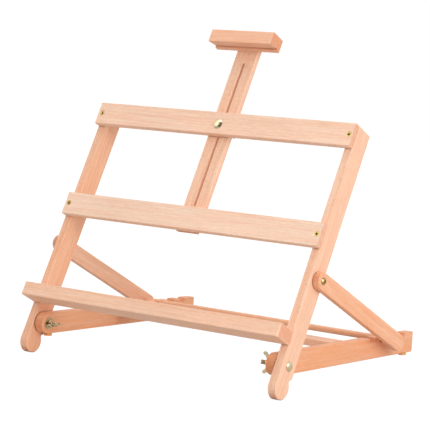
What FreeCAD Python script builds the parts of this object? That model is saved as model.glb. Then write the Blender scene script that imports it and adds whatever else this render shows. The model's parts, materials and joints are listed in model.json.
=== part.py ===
"""Folding table easel of beech: notched base rails, leaning frame, prop arms and a sliding mast.

Row frame: +X to the sitter's right, +Y to the rear, +Z up, millimetres.
Pieces are drawn in the local axes of the group that carries them:
  base   y along the base rails to the rear, z square to them, origin on the frame's pivot
  frame  y to the rear, z up along the uprights, origin on the same pivot
  prop   y along the arms to the rear, z square to them, origin on the arms' pivot
"""
import FreeCAD, Part
import math
import os
import re

import Sketcher

SIZES = [
    # frame
    ("frame_width", 440.0, "outer face to outer face of the uprights"),
    ("upright_thick", 12.4, "upright, across the easel"),
    ("upright_depth", 32.4, "upright, front to rear"),
    ("upright_top", 340.5, "pivot to the top end of the uprights"),
    ("foot_drop", 29.8, "pivot to the centre of the round foot"),
    ("heel_radius", 20.2, "rounded heel of the upright about the pivot"),
    ("waist_round", 1.5, "rounding of the waist above the foot"),
    ("rail_height", 34.0, "front rails, along the uprights"),
    ("rail_thick", 10.0, "front rails, front to rear"),
    ("middle_rail_low", 160.0, "pivot to the lower edge of the middle rail"),
    ("ledge_low", 23.5, "pivot to the underside of the canvas ledge"),
    ("ledge_height", 19.5, "canvas ledge, along the uprights"),
    ("ledge_depth", 32.0, "canvas ledge, front to rear"),
    ("ledge_round", 3.0, "rounding of the front corners of the ledge"),
    # base
    ("base_length", 349.0, "pivot to the rear end of the base rails"),
    ("base_height", 29.6, "base rails, square to their length"),
    ("base_thick", 14.2, "base rails, across the easel"),
    ("base_gap", 1.2, "between an upright and its base rail"),
    ("notch_start", 226.3, "pivot to the front wall of the first notch"),
    ("notch_pitch", 28.2, "from notch to notch"),
    ("notch_mouth", 14.7, "width of a notch at the top of the rail"),
    ("notch_depth", 8.0, "depth of a notch"),
    ("notch_lean", 26.0, "backward lean of a notch's rear wall, degrees"),
    ("notch_round", 3.0, "rounding of a notch's floor corners"),
    ("notch_count", 4.0, "notches in a base rail"),
    ("notch_used", 2.0, "notch that holds the prop dowel, from the front"),
    ("cross_start", 147.0, "pivot to the front edge of the cross rail"),
    ("cross_width", 30.0, "cross rail, along the base rails"),
    ("cross_thick", 10.0, "cross rail, top to underside"),
    ("tenon_length", 4.0, "stub tenons of the cross rail, length"),
    ("tenon_shoulder", 1.5, "shoulder around a tenon"),
    ("pad_bore", 11.5, "rubber foot, diameter"),
    ("pad_height", 4.0, "rubber foot, height"),
    ("pad_front", 7.0, "pivot to the front rubber feet"),
    ("pad_rear", 333.5, "pivot to the rear rubber feet"),
    # prop
    ("arm_width", 23.5, "prop arm, side to side"),
    ("arm_thick", 10.0, "prop arm, across the easel"),
    ("arm_gap", 0.3, "between an upright and its prop arm"),
    ("arm_height", 121.7, "pivot of the frame to the pivot of the arms"),
    ("arm_reach", 231.0, "pivot of an arm to the dowel"),
    ("arm_tail", 21.0, "dowel to the rear end of an arm"),
    ("dowel_bore", 9.3, "prop dowel, diameter"),
    ("dowel_seat", 6.0, "depth of the dowel in each arm"),
    ("dowel_rest_gap", 0.3, "between the dowel and its notch"),
    # mast
    ("mast_width", 36.5, "mast, across the easel"),
    ("mast_thick", 8.5, "mast, front to rear"),
    ("mast_low", 161.0, "pivot to the lower end of the mast"),
    ("mast_top", 462.7, "pivot to the top end of the mast"),
    ("mast_shift", 1.5, "middle of the mast from the middle of the frame, to the left"),
    ("mast_play", 0.3, "between the mast and the front rails"),
    ("slot_width", 4.6, "slot of the mast"),
    ("slot_low", 198.3, "pivot to the lower end of the slot"),
    ("slot_below_top", 38.7, "top end of the mast to the upper end of the slot"),
    ("holder_length", 107.0, "canvas holder, across the easel"),
    ("holder_depth", 26.5, "canvas holder, front to rear"),
    ("holder_height", 19.3, "canvas holder, along the mast"),
    ("tongue_thick", 6.8, "rear tongue of the holder, front to rear"),
    ("tongue_drop", 3.0, "tongue below the underside of the holder"),
    ("holder_hook", 3.2, "fall of the holder's underside from the tongue to its front edge"),
    # hardware
    ("pivot_bore", 6.0, "base pivot bolts, shank diameter"),
    ("pivot_head", 13.6, "base pivot bolts, head diameter"),
    ("pivot_dome", 3.2, "base pivot bolts, head height"),
    ("clamp_drop", 1.5, "mast bolt below the middle of the top rail"),
    ("clamp_bore", 4.0, "mast bolt, shank diameter"),
    ("clamp_head", 14.2, "mast bolt, head diameter"),
    ("clamp_dome", 3.0, "mast bolt, head height"),
    ("bolt_stub", 7.5, "bolt end beyond its wing nut"),
    ("arm_screw_bore", 4.5, "arm pivot screws, shank diameter"),
    ("arm_screw_head", 10.0, "arm pivot screws, head diameter"),
    ("arm_screw_dome", 2.8, "arm pivot screws, head height"),
    ("arm_screw_bite", 11.0, "arm pivot screws, length inside the upright"),
    ("wood_screw_bore", 3.6, "countersunk screws, shank diameter"),
    ("wood_screw_head", 9.0, "countersunk screws, head diameter"),
    ("rail_screw_length", 30.0, "rail screws, length"),
    ("washer_outer", 16.0, "washers, outer diameter"),
    ("washer_thick", 0.8, "washers, thickness"),
    ("nut_hub", 9.6, "wing nuts, diameter of the hub"),
    ("nut_height", 7.0, "wing nuts, height of the hub"),
    ("nut_span", 30.0, "wing nuts, tip to tip"),
    ("nut_rise", 12.5, "wing nuts, height of the wing tips"),
    ("wing_root", 1.4, "wing nuts, foot of a wing above the seat"),
    ("wing_thick", 1.8, "wing nuts, thickness of a wing"),
    # fits and finish
    ("turn_play", 0.05, "shaft or tenon in its hole, on each side"),
    ("face_play", 0.1, "between faces that turn on each other"),
    ("edge_ease", 0.8, "bevel of the long edges of the wood"),
]
NAMES = {name for name, _, _ in SIZES}
LEFT, RIGHT = -1, 1
HAND = {LEFT: "left", RIGHT: "right"}
# How far each wing nut has been turned at rest, in degrees.
NUT_SPIN = {LEFT: 90.0, RIGHT: 0.0}
MAST_NUT_SPIN = 30.0

doc = FreeCAD.newDocument("table_easel")
sheet = doc.addObject("Spreadsheet::Sheet", "Sizes")
for row, (name, number, note) in enumerate(SIZES, start=1):
    sheet.set(f"A{row}", name)
    sheet.set(f"B{row}", str(number))
    sheet.setAlias(f"B{row}", name)
    sheet.set(f"C{row}", note)
doc.recompute()


# ---------------------------------------------------------------- expressions and sketches

def linked(text):
    """The expression with every size name pointed at its cell in the sheet."""
    return re.sub(r"[a-z_]+", lambda word: "Sizes." + word[0] if word[0] in NAMES else word[0], text)


def worth(text):
    """The number that an expression has now."""
    return float(sheet.evalExpression(linked(text)))


def bind(item, path, text):
    item.setExpression(path, linked(text))


def new_body(label, several=False):
    body = doc.addObject("PartDesign::Body", label)
    body.Label = label
    body.AllowCompound = several
    return body


def new_sketch(body, name, role, offset="0"):
    """A sketch on one of the body's own planes, moved along the plane's normal by offset."""
    sketch = body.newObject("Sketcher::SketchObject", f"{body.Name}_{name}")
    support = next(item for item in body.Origin.OriginFeatures if item.Role == role)
    sketch.AttachmentSupport = [(support, "")]
    sketch.MapMode = "FlatFace"
    bind(sketch, ".AttachmentOffset.Base.z", offset)
    return sketch


def pin(sketch, kind, geometry, point, text):
    """One dimension from the sketch's origin to a point, tied to an expression."""
    index = sketch.addConstraint(Sketcher.Constraint(kind, -1, 1, geometry, point, worth(text)))
    bind(sketch, f"Constraints[{index}]", text)


def outline(sketch, corners, arcs=None):
    """A closed outline through corners, pairs of expressions.

    arcs maps the number of a side to (centre, turn, held): turn is "cw" or "ccw", and held says what
    is dimensioned: "radius", or the centre's "DistanceX" or "DistanceY" where the arc is a half circle.
    """
    arcs = arcs or {}
    spots = [FreeCAD.Vector(worth(across), worth(up), 0) for across, up in corners]
    ends = []
    for side, start in enumerate(spots):
        stop = spots[(side + 1) % len(spots)]
        if side not in arcs:
            index = sketch.addGeometry(Part.LineSegment(start, stop))
            ends.append((index, 1, 2))
            continue
        centre = FreeCAD.Vector(worth(arcs[side][0][0]), worth(arcs[side][0][1]), 0)
        clockwise = arcs[side][1] == "cw"
        first, last = (stop, start) if clockwise else (start, stop)
        circle = Part.Circle(centre, FreeCAD.Vector(0, 0, 1), (start - centre).Length)
        angles = [math.atan2(spot.y - centre.y, spot.x - centre.x) for spot in (first, last)]
        index = sketch.addGeometry(Part.ArcOfCircle(circle, angles[0], angles[1]))
        ends.append((index, 2, 1) if clockwise else (index, 1, 2))
    for side, (index, _, tail) in enumerate(ends):
        following = ends[(side + 1) % len(ends)]
        sketch.addConstraint(Sketcher.Constraint("Coincident", index, tail, following[0], following[1]))
    for (index, head, _), (across, up) in zip(ends, corners):
        pin(sketch, "DistanceX", index, head, across)
        pin(sketch, "DistanceY", index, head, up)
    for side, (centre, _, held) in arcs.items():
        index = ends[side][0]
        if held == "DistanceX":
            pin(sketch, held, index, 3, centre[0])
        elif held == "DistanceY":
            pin(sketch, held, index, 3, centre[1])
        else:
            number = sketch.addConstraint(Sketcher.Constraint("Radius", index, worth(held)))
            bind(sketch, f"Constraints[{number}]", held)


def box_outline(sketch, low, high):
    """A rectangle from the corner low to the corner high, pairs of expressions."""
    outline(sketch, [low, (high[0], low[1]), high, (low[0], high[1])])


def circle(sketch, across, up, diameter):
    middle = FreeCAD.Vector(worth(across), worth(up), 0)
    ring = Part.Circle(middle, FreeCAD.Vector(0, 0, 1), worth(diameter) / 2)
    index = sketch.addGeometry(ring)
    pin(sketch, "DistanceX", index, 3, across)
    pin(sketch, "DistanceY", index, 3, up)
    number = sketch.addConstraint(Sketcher.Constraint("Diameter", index, worth(diameter)))
    bind(sketch, f"Constraints[{number}]", diameter)


def settle(feature):
    doc.recompute()
    if feature.Shape.isNull() or not feature.Shape.isValid():
        raise RuntimeError(f"{feature.Name} has no sound shape")
    return feature


def pad(body, sketch, length, backward=False):
    feature = body.newObject("PartDesign::Pad", f"{sketch.Name}_pad")
    feature.Profile = sketch
    bind(feature, "Length", length)
    feature.Reversed = backward
    return settle(feature)


def cut(body, sketch, depth=None, backward=False):
    """A pocket of the given depth, or right through both ways without one, that must remove wood."""
    before = body.Shape.Volume
    feature = body.newObject("PartDesign::Pocket", f"{sketch.Name}_cut")
    feature.Profile = sketch
    if depth is None:
        feature.Type = "ThroughAll"
        feature.SideType = "Symmetric"
    else:
        bind(feature, "Length", depth)
        feature.Reversed = backward
    settle(feature)
    if body.Shape.Volume >= before - 1e-6:
        raise RuntimeError(f"{feature.Name} removes nothing")
    return feature


def turn(body, sketch, upright=True):
    """A full revolution about the sketch's upright or level axis."""
    feature = body.newObject("PartDesign::Revolution", f"{sketch.Name}_turn")
    feature.Profile = sketch
    feature.ReferenceAxis = (sketch, ["V_Axis" if upright else "H_Axis"])
    feature.Angle = 360
    return settle(feature)


def edge_names(shape, wanted):
    return [f"Edge{number}" for number, edge in enumerate(shape.Edges, start=1) if wanted(edge)]


def runs_along(direction, shortest):
    """Picks straight edges along a direction that are at least that long."""
    def wanted(edge):
        if edge.Curve.TypeId != "Part::GeomLine" or edge.Length < shortest:
            return False
        return abs(abs(edge.Curve.Direction.dot(direction)) - 1) < 1e-6
    return wanted


def ring_at(direction, place, radius):
    """Picks full circles square to a direction, at that place along it and of that radius."""
    def wanted(edge):
        if edge.Curve.TypeId != "Part::GeomCircle" or not edge.isClosed():
            return False
        level = edge.Curve.Center.dot(direction) - place
        return abs(level) < 1e-4 and abs(edge.Curve.Radius - radius) < 1e-4
    return wanted


def dress(body, kind, picked, size_text):
    """Rounds (Fillet) or bevels (Chamfer) the edges that picked chooses."""
    base = body.Tip
    names = edge_names(base.Shape, picked)
    if not names:
        raise RuntimeError(f"{body.Name}: no edges for the {kind}")
    feature = body.newObject(f"PartDesign::{kind}", f"{base.Name}_{kind.lower()}")
    feature.Base = (base, names)
    bind(feature, "Radius" if kind == "Fillet" else "Size", size_text)
    return settle(feature)


ALONG_X = FreeCAD.Vector(1, 0, 0)
ALONG_Y = FreeCAD.Vector(0, 1, 0)
ALONG_Z = FreeCAD.Vector(0, 0, 1)

# ---------------------------------------------------------------- places that pieces share

UPRIGHT_IN = "(frame_width / 2 - upright_thick)"
UPRIGHT_MID = "(frame_width / 2 - upright_thick / 2)"
BASE_OUT = f"({UPRIGHT_IN} - base_gap)"
BASE_IN = f"({BASE_OUT} - base_thick)"
BASE_MID = f"({BASE_OUT} - base_thick / 2)"
ARM_IN = "(frame_width / 2 + arm_gap)"
ARM_OUT = f"({ARM_IN} + arm_thick)"
FRONT = "(upright_depth / 2)"
MAST_FRONT = f"({FRONT} - mast_play)"
MAST_REAR = f"({MAST_FRONT} - mast_thick)"
TOP_RAIL_LOW = "(upright_top - rail_height)"
TOP_RAIL_MID = "(upright_top - rail_height / 2)"
CLAMP_UP = "(upright_top - rail_height / 2 - clamp_drop)"
MIDDLE_RAIL_MID = "(middle_rail_low + rail_height / 2)"
ARM_END = "(arm_reach + arm_tail - arm_width / 2)"
SUNK_HEAD = "((wood_screw_head - wood_screw_bore) / 2)"


def on_side(side, text):
    """The expression as it is on the right, or mirrored to the left."""
    return text if side == RIGHT else f"-{text}"


# ---------------------------------------------------------------- frame

def upright(side):
    body = new_body(f"upright_{HAND[side]}")
    half = "upright_depth / 2"
    waist_up = "(-(foot_drop ^ 2 + heel_radius ^ 2 - (upright_depth / 2) ^ 2) / (2 * foot_drop))"
    inner = UPRIGHT_IN if side == RIGHT else "-frame_width / 2"
    side_view = new_sketch(body, "side", "YZ_Plane", inner)
    outline(
        side_view,
        [
            (f"-{half}", "-foot_drop"),
            (f"-{half}", "upright_top"),
            (half, "upright_top"),
            (half, f"-sqrt(heel_radius ^ 2 - ({half}) ^ 2)"),
            (f"sqrt(heel_radius ^ 2 - {waist_up} ^ 2)", waist_up),
        ],
        {3: (("0", "0"), "cw", "heel_radius"), 4: (("0", "-foot_drop"), "cw", half)},
    )
    pad(body, side_view, "upright_thick")

    def heel_corners(edge):
        return runs_along(ALONG_X, 1)(edge) and edge.CenterOfMass.y > 1 and edge.CenterOfMass.z < 0
    dress(body, "Fillet", heel_corners, "waist_round")
    dress(body, "Chamfer", runs_along(ALONG_Z, worth("foot_drop")), "edge_ease")

    bolt_hole = new_sketch(body, "bolt_hole", "YZ_Plane")
    circle(bolt_hole, "0", "0", "pivot_bore + 2 * turn_play")
    cut(body, bolt_hole)

    arm_pilot = new_sketch(body, "arm_pilot", "YZ_Plane", on_side(side, "(frame_width / 2)"))
    circle(arm_pilot, "0", "arm_height", "arm_screw_bore + 2 * turn_play")
    cut(body, arm_pilot, "arm_screw_bite + face_play", backward=side == LEFT)

    rail_pilots = new_sketch(body, "rail_pilots", "XZ_Plane", FRONT)
    for height in (TOP_RAIL_MID, MIDDLE_RAIL_MID):
        circle(rail_pilots, on_side(side, UPRIGHT_MID), height, "wood_screw_bore + 2 * turn_play")
    cut(body, rail_pilots, "rail_screw_length - rail_thick + face_play")
    return body


def front_rail(label, low, middle):
    """A rail screwed to the front faces of the uprights, with countersunk holes at its ends."""
    body = new_body(label)
    face = new_sketch(body, "face", "XZ_Plane", FRONT)
    box_outline(face, ("-frame_width / 2", low), ("frame_width / 2", f"{low} + rail_height"))
    pad(body, face, "rail_thick")
    dress(body, "Chamfer", runs_along(ALONG_X, worth("frame_width / 2")), "edge_ease")
    holes = new_sketch(body, "holes", "XZ_Plane", FRONT)
    for side in (LEFT, RIGHT):
        circle(holes, on_side(side, UPRIGHT_MID), middle, "wood_screw_bore + 2 * turn_play")
    cut(body, holes)
    rim = ring_at(ALONG_Y, -worth(f"{FRONT} + rail_thick"), worth("wood_screw_bore / 2 + turn_play"))
    dress(body, "Chamfer", rim, SUNK_HEAD)
    return body


def top_rail():
    body = front_rail("top_rail", TOP_RAIL_LOW, TOP_RAIL_MID)
    bolt_hole = new_sketch(body, "bolt_hole", "XZ_Plane", FRONT)
    circle(bolt_hole, "-mast_shift", CLAMP_UP, "clamp_bore + 2 * turn_play")
    cut(body, bolt_hole)
    return body


def canvas_ledge():
    body = new_body("canvas_ledge")
    section = new_sketch(body, "section", "YZ_Plane", "-frame_width / 2")
    lip = f"-({FRONT} + ledge_depth)"
    box_outline(section, (lip, "ledge_low"), (f"-{FRONT}", "ledge_low + ledge_height"))
    pad(body, section, "frame_width")

    def front_corners(edge):
        return runs_along(ALONG_Z, 1)(edge) and edge.CenterOfMass.y < -worth(FRONT) - 1
    dress(body, "Fillet", front_corners, "ledge_round")
    dress(body, "Chamfer", runs_along(ALONG_X, worth("frame_width / 2")), "edge_ease")
    return body


# ---------------------------------------------------------------- base

def base_rail(side):
    body = new_body(f"base_rail_{HAND[side]}")
    half = "base_height / 2"
    inner = BASE_IN if side == RIGHT else f"-{BASE_OUT}"
    side_view = new_sketch(body, "side", "YZ_Plane", inner)
    outline(
        side_view,
        [("0", f"-{half}"), ("0", half), ("base_length", half), ("base_length", f"-{half}")],
        {0: (("0", "0"), "cw", "DistanceX")},
    )
    pad(body, side_view, "base_thick")

    notch = new_sketch(body, "notch", "YZ_Plane")
    floor_up = f"({half} - notch_depth)"
    bevel = "(notch_round * tan((90 - notch_lean) / 2 * 1deg))"
    rear_foot = "(notch_start + notch_mouth - notch_depth * tan(notch_lean * 1deg))"
    outline(
        notch,
        [
            ("notch_start", f"{half} + edge_ease"),
            ("notch_start + notch_mouth + edge_ease * tan(notch_lean * 1deg)", f"{half} + edge_ease"),
            (
                f"{rear_foot} + {bevel} * sin(notch_lean * 1deg)",
                f"{floor_up} + {bevel} * cos(notch_lean * 1deg)",
            ),
            (f"{rear_foot} - {bevel}", floor_up),
            ("notch_start + notch_round", floor_up),
            ("notch_start", f"{floor_up} + notch_round"),
        ],
        {
            2: ((f"{rear_foot} - {bevel}", f"{floor_up} + notch_round"), "cw", "notch_round"),
            4: (("notch_start + notch_round", f"{floor_up} + notch_round"), "cw", "notch_round"),
        },
    )
    first = cut(body, notch)
    row = body.newObject("PartDesign::LinearPattern", f"{body.Name}_notches")
    row.Originals = [first]
    row.Direction = (notch, ["H_Axis"])
    bind(row, "Length", "notch_pitch * (notch_count - 1)")
    bind(row, "Occurrences", "notch_count")
    body.Tip = row
    settle(row)
    dress(body, "Chamfer", runs_along(ALONG_Y, worth("notch_start / 2")), "edge_ease")

    bolt_hole = new_sketch(body, "bolt_hole", "YZ_Plane")
    circle(bolt_hole, "0", "0", "pivot_bore + 2 * turn_play")
    cut(body, bolt_hole)

    mortise = new_sketch(body, "mortise", "YZ_Plane", on_side(side, BASE_IN))
    tenon_section(mortise, "(tenon_shoulder - turn_play)")
    cut(body, mortise, "tenon_length + face_play", backward=side == RIGHT)
    return body


def tenon_section(sketch, shoulder):
    """The section of the cross rail less a shoulder on all four sides."""
    box_outline(
        sketch,
        (f"cross_start + {shoulder}", f"base_height / 2 - cross_thick + {shoulder}"),
        (f"cross_start + cross_width - {shoulder}", f"base_height / 2 - {shoulder}"),
    )


def base_cross_rail():
    body = new_body("base_cross_rail")
    section = new_sketch(body, "section", "YZ_Plane", f"-{BASE_IN}")
    top = "base_height / 2"
    box_outline(section, ("cross_start", f"{top} - cross_thick"), ("cross_start + cross_width", top))
    pad(body, section, f"2 * {BASE_IN}")
    dress(body, "Chamfer", runs_along(ALONG_X, worth(BASE_IN)), "edge_ease")
    tenons = new_sketch(body, "tenons", "YZ_Plane", f"-({BASE_IN} + tenon_length)")
    tenon_section(tenons, "tenon_shoulder")
    pad(body, tenons, f"2 * ({BASE_IN} + tenon_length)")
    return body


def rubber_feet():
    body = new_body("rubber_feet", several=True)
    discs = new_sketch(body, "discs", "XY_Plane", "-base_height / 2")
    for side in (LEFT, RIGHT):
        for along in ("pad_front", "pad_rear"):
            circle(discs, on_side(side, BASE_MID), along, "pad_bore")
    pad(body, discs, "pad_height", backward=True)
    return body


# ---------------------------------------------------------------- prop

def prop_arm(side):
    body = new_body(f"prop_arm_{HAND[side]}")
    half = "arm_width / 2"
    inner = ARM_IN if side == RIGHT else f"-{ARM_OUT}"
    side_view = new_sketch(body, "side", "YZ_Plane", inner)
    outline(
        side_view,
        [("0", f"-{half}"), ("0", half), (ARM_END, half), (ARM_END, f"-{half}")],
        {0: (("0", "0"), "cw", "DistanceX"), 2: ((ARM_END, "0"), "cw", "DistanceX")},
    )
    pad(body, side_view, "arm_thick")
    dress(body, "Chamfer", runs_along(ALONG_Y, worth("arm_reach / 2")), "edge_ease")
    screw_hole = new_sketch(body, "screw_hole", "YZ_Plane")
    circle(screw_hole, "0", "0", "arm_screw_bore + 2 * turn_play")
    cut(body, screw_hole)
    seat = new_sketch(body, "dowel_seat", "YZ_Plane", on_side(side, ARM_IN))
    circle(seat, "arm_reach", "0", "dowel_bore + 2 * turn_play")
    cut(body, seat, "dowel_seat + face_play", backward=side == RIGHT)
    return body


def prop_dowel():
    body = new_body("prop_dowel")
    end = new_sketch(body, "end", "YZ_Plane", f"-({ARM_IN} + dowel_seat)")
    circle(end, "arm_reach", "0", "dowel_bore")
    pad(body, end, f"2 * ({ARM_IN} + dowel_seat)")
    return body


# ---------------------------------------------------------------- mast

def mast():
    body = new_body("mast")
    face = new_sketch(body, "face", "XZ_Plane", MAST_FRONT)
    left, right = "-mast_shift - mast_width / 2", "-mast_shift + mast_width / 2"
    box_outline(face, (left, "mast_low"), (right, "mast_top"))
    pad(body, face, "mast_thick", backward=True)
    dress(body, "Chamfer", runs_along(ALONG_Z, worth("mast_width")), "edge_ease")
    slot = new_sketch(body, "slot", "XZ_Plane")
    half = "slot_width / 2"
    outline(
        slot,
        [
            (f"-mast_shift - {half}", f"slot_low + {half}"),
            (f"-mast_shift - {half}", f"mast_top - slot_below_top - {half}"),
            (f"-mast_shift + {half}", f"mast_top - slot_below_top - {half}"),
            (f"-mast_shift + {half}", f"slot_low + {half}"),
        ],
        {
            1: (("-mast_shift", f"mast_top - slot_below_top - {half}"), "cw", "DistanceY"),
            3: (("-mast_shift", f"slot_low + {half}"), "cw", "DistanceY"),
        },
    )
    cut(body, slot)
    return body


def canvas_holder():
    body = new_body("canvas_holder")
    section = new_sketch(body, "section", "YZ_Plane", "-mast_shift - holder_length / 2")
    underside = "(mast_top - holder_height + tongue_drop)"
    outline(
        section,
        [
            (f"-({MAST_FRONT} + holder_depth)", "mast_top"),
            (f"-{MAST_FRONT}", "mast_top"),
            (f"-{MAST_FRONT}", "mast_top - holder_height"),
            (f"-({MAST_FRONT} + tongue_thick)", "mast_top - holder_height"),
            (f"-({MAST_FRONT} + tongue_thick)", underside),
            (f"-({MAST_FRONT} + holder_depth)", f"{underside} - holder_hook"),
        ],
    )
    pad(body, section, "holder_length")
    fronts = worth(f"{MAST_FRONT} + holder_depth")

    def front_edges(edge):
        return runs_along(ALONG_X, 1)(edge) and abs(edge.CenterOfMass.y + fronts) < 1e-4
    dress(body, "Chamfer", front_edges, "edge_ease")
    return body


# ---------------------------------------------------------------- hardware, drawn along +Z

def domed_bolt(label, shank, head, dome, length):
    """A bolt with a domed head above its seat at z = 0 and the shank below."""
    body = new_body(label)
    profile = new_sketch(body, "profile", "XZ_Plane")
    ball = f"(((({head}) / 2) ^ 2 + ({dome}) ^ 2) / (2 * ({dome})))"
    outline(
        profile,
        [
            ("0", dome),
            (f"({head}) / 2", "0"),
            (f"({shank}) / 2", "0"),
            (f"({shank}) / 2", f"-({length})"),
            ("0", f"-({length})"),
        ],
        {0: (("0", f"{dome} - {ball}"), "cw", ball)},
    )
    turn(body, profile)
    return body


def sunk_screw(label, length):
    """A countersunk screw with its flat head flush at z = 0 and its shank below."""
    body = new_body(label)
    profile = new_sketch(body, "profile", "XZ_Plane")
    shank = "wood_screw_bore / 2"
    outline(
        profile,
        [
            ("0", "0"),
            ("wood_screw_head / 2", "0"),
            (shank, f"-{SUNK_HEAD}"),
            (shank, f"-({length})"),
            ("0", f"-({length})"),
        ],
    )
    turn(body, profile)
    return body


def washer(label, bore):
    body = new_body(label)
    ring = new_sketch(body, "ring", "XY_Plane")
    circle(ring, "0", "0", "washer_outer")
    circle(ring, "0", "0", f"{bore} + 2 * turn_play")
    pad(body, ring, "washer_thick")
    return body


def wing_nut(label, bore):
    """A wing nut seated at z = 0 with its wings in the XZ plane."""
    body = new_body(label)
    hub = new_sketch(body, "hub", "XY_Plane")
    circle(hub, "0", "0", "nut_hub")
    pad(body, hub, "nut_height")
    for side in (LEFT, RIGHT):
        wing = new_sketch(body, f"wing_{HAND[side]}", "XZ_Plane", "-wing_thick / 2")
        outline(
            wing,
            [
                (on_side(side, "(nut_hub / 4)"), "wing_root"),
                (on_side(side, "(nut_hub / 2)"), "wing_root"),
                (on_side(side, "(nut_span / 2)"), "nut_height"),
                (on_side(side, "(nut_span / 2)"), "nut_rise"),
                (on_side(side, "(nut_span / 4 + nut_hub / 8)"), "nut_rise"),
                (on_side(side, "(nut_hub / 4)"), "nut_height - wing_root"),
            ],
        )
        pad(body, wing, "wing_thick")
    outer = worth("nut_span / 4")

    def tip_edges(edge):
        return runs_along(ALONG_Y, worth("wing_thick / 2"))(edge) and abs(edge.CenterOfMass.x) > outer
    dress(body, "Chamfer", tip_edges, "wing_thick")
    hole = new_sketch(body, "hole", "XY_Plane")
    circle(hole, "0", "0", f"{bore} + 2 * turn_play")
    cut(body, hole)
    return body


def spots_of(label, spots):
    """One node made of linked copies of pattern pieces; spots are pairs of pattern and place."""
    node = doc.addObject("Part::Compound", label)
    node.Label = label
    links = []
    for number, (pattern, place) in enumerate(spots, start=1):
        link = doc.addObject("App::Link", f"{label}_{number}")
        link.LinkedObject = pattern
        link.LinkPlacement = place
        links.append(link)
    node.Links = links
    return node


def facing(direction, spot, spin=0.0):
    """The placement that turns a piece's +Z to a direction, after a spin about its own axis."""
    turned = FreeCAD.Rotation(ALONG_Z, direction) * FreeCAD.Rotation(ALONG_Z, spin)
    return FreeCAD.Placement(FreeCAD.Vector(*(worth(text) for text in spot)), turned)


# ---------------------------------------------------------------- the mechanism at rest

def rest_angles():
    """Angles of frame, base and arms when the dowel lies in its notch and the easel stands.

    Returns the turn of each group about +X in degrees and the arms' pivot in the frame.
    """
    lean = math.radians(worth("notch_lean"))
    ball = worth("dowel_bore / 2 + dowel_rest_gap")
    dowel_up = worth("base_height / 2 - notch_depth") + ball
    mouth_rear = worth("notch_start + notch_mouth + notch_pitch * (notch_used - 1)")
    wall = mouth_rear - (worth("base_height / 2") - dowel_up) * math.tan(lean)
    dowel_along = wall - ball / math.cos(lean)
    span = math.hypot(dowel_along, dowel_up)
    high = worth("arm_height")
    reach = worth("arm_reach")
    opening = math.acos((high ** 2 + span ** 2 - reach ** 2) / (2 * high * span))
    frame_rise = math.atan2(dowel_up, dowel_along) + opening
    arm_drop = math.atan2(
        high * math.sin(frame_rise) - dowel_up,
        dowel_along - high * math.cos(frame_rise),
    )
    # The base slopes down to the rear until the round feet and the rear rubber feet reach one level.
    ball_foot = worth("upright_depth / 2")
    pad_edge = worth("pad_rear + pad_bore / 2")
    pad_face = worth("base_height / 2 + pad_height")
    drop = worth("foot_drop")
    rise = drop * math.sin(frame_rise) - pad_face
    run = pad_edge + drop * math.cos(frame_rise)
    slope = math.asin(ball_foot / math.hypot(rise, run)) + math.atan2(rise, run)
    base_turn = -math.degrees(slope)
    frame_turn = base_turn + math.degrees(frame_rise) - 90
    arm_turn = base_turn - math.degrees(arm_drop)
    return base_turn, frame_turn, arm_turn


def group_places():
    base_turn, frame_turn, arm_turn = rest_angles()
    base = FreeCAD.Placement(FreeCAD.Vector(), FreeCAD.Rotation(ALONG_X, base_turn))
    frame = FreeCAD.Placement(FreeCAD.Vector(), FreeCAD.Rotation(ALONG_X, frame_turn))
    arm_pivot = frame.multVec(FreeCAD.Vector(0, 0, worth("arm_height")))
    prop = FreeCAD.Placement(arm_pivot, FreeCAD.Rotation(ALONG_X, arm_turn))
    return {"base": base, "frame": frame, "prop": prop}


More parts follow.
